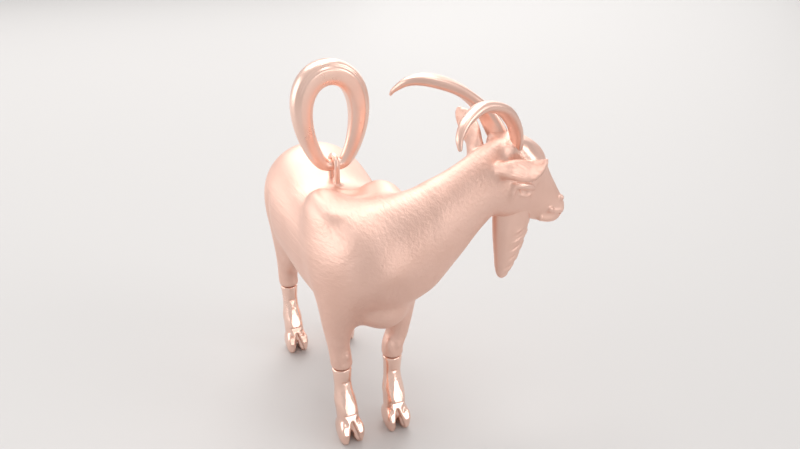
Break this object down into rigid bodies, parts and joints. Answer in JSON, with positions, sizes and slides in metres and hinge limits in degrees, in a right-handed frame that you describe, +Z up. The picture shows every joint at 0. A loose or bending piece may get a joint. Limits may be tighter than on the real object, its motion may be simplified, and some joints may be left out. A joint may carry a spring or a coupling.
{
  "type": "goat pendant",
  "caption": "Cast metal goat pendant standing on four hooves, head turned to its left, with a teardrop bail that swings in an eye ring on its back.",
  "frame": {"origin": "centre of the bounding box at the level of the hoof soles, so that the part stands on Z = 0", "axes": "+X the way the goat's body faces, +Y the goat's left, +Z up"},
  "size_m": [0.0414, 0.0328, 0.0472],
  "materials": {
    "rose_gold_satin": "rose gold plate over cast brass, satin with faint brushed striations",
    "rose_gold_bright": "rose gold plate over cast brass, polished bright"
  },
  "bodies": {
    "goat": {"body": "rose_gold_satin", "leg_front_right": "rose_gold_bright", "leg_front_left": "rose_gold_bright", "leg_rear_right": "rose_gold_bright", "leg_rear_left": "rose_gold_bright", "horn_right": "rose_gold_satin", "horn_left": "rose_gold_satin", "beard": "rose_gold_satin", "tail": "rose_gold_satin", "eye_ring": "rose_gold_bright"},
    "bail_loop": {"bail": "rose_gold_bright"}
  },
  "joints": [
    {"name": "bail_swing", "type": "hinge", "parent": "goat", "child": "bail_loop", "pos_m": [-0.0028, -0.0089, 0.0337], "axis": [0, 1, 0], "range_deg": [-78, 78]}
  ]
}
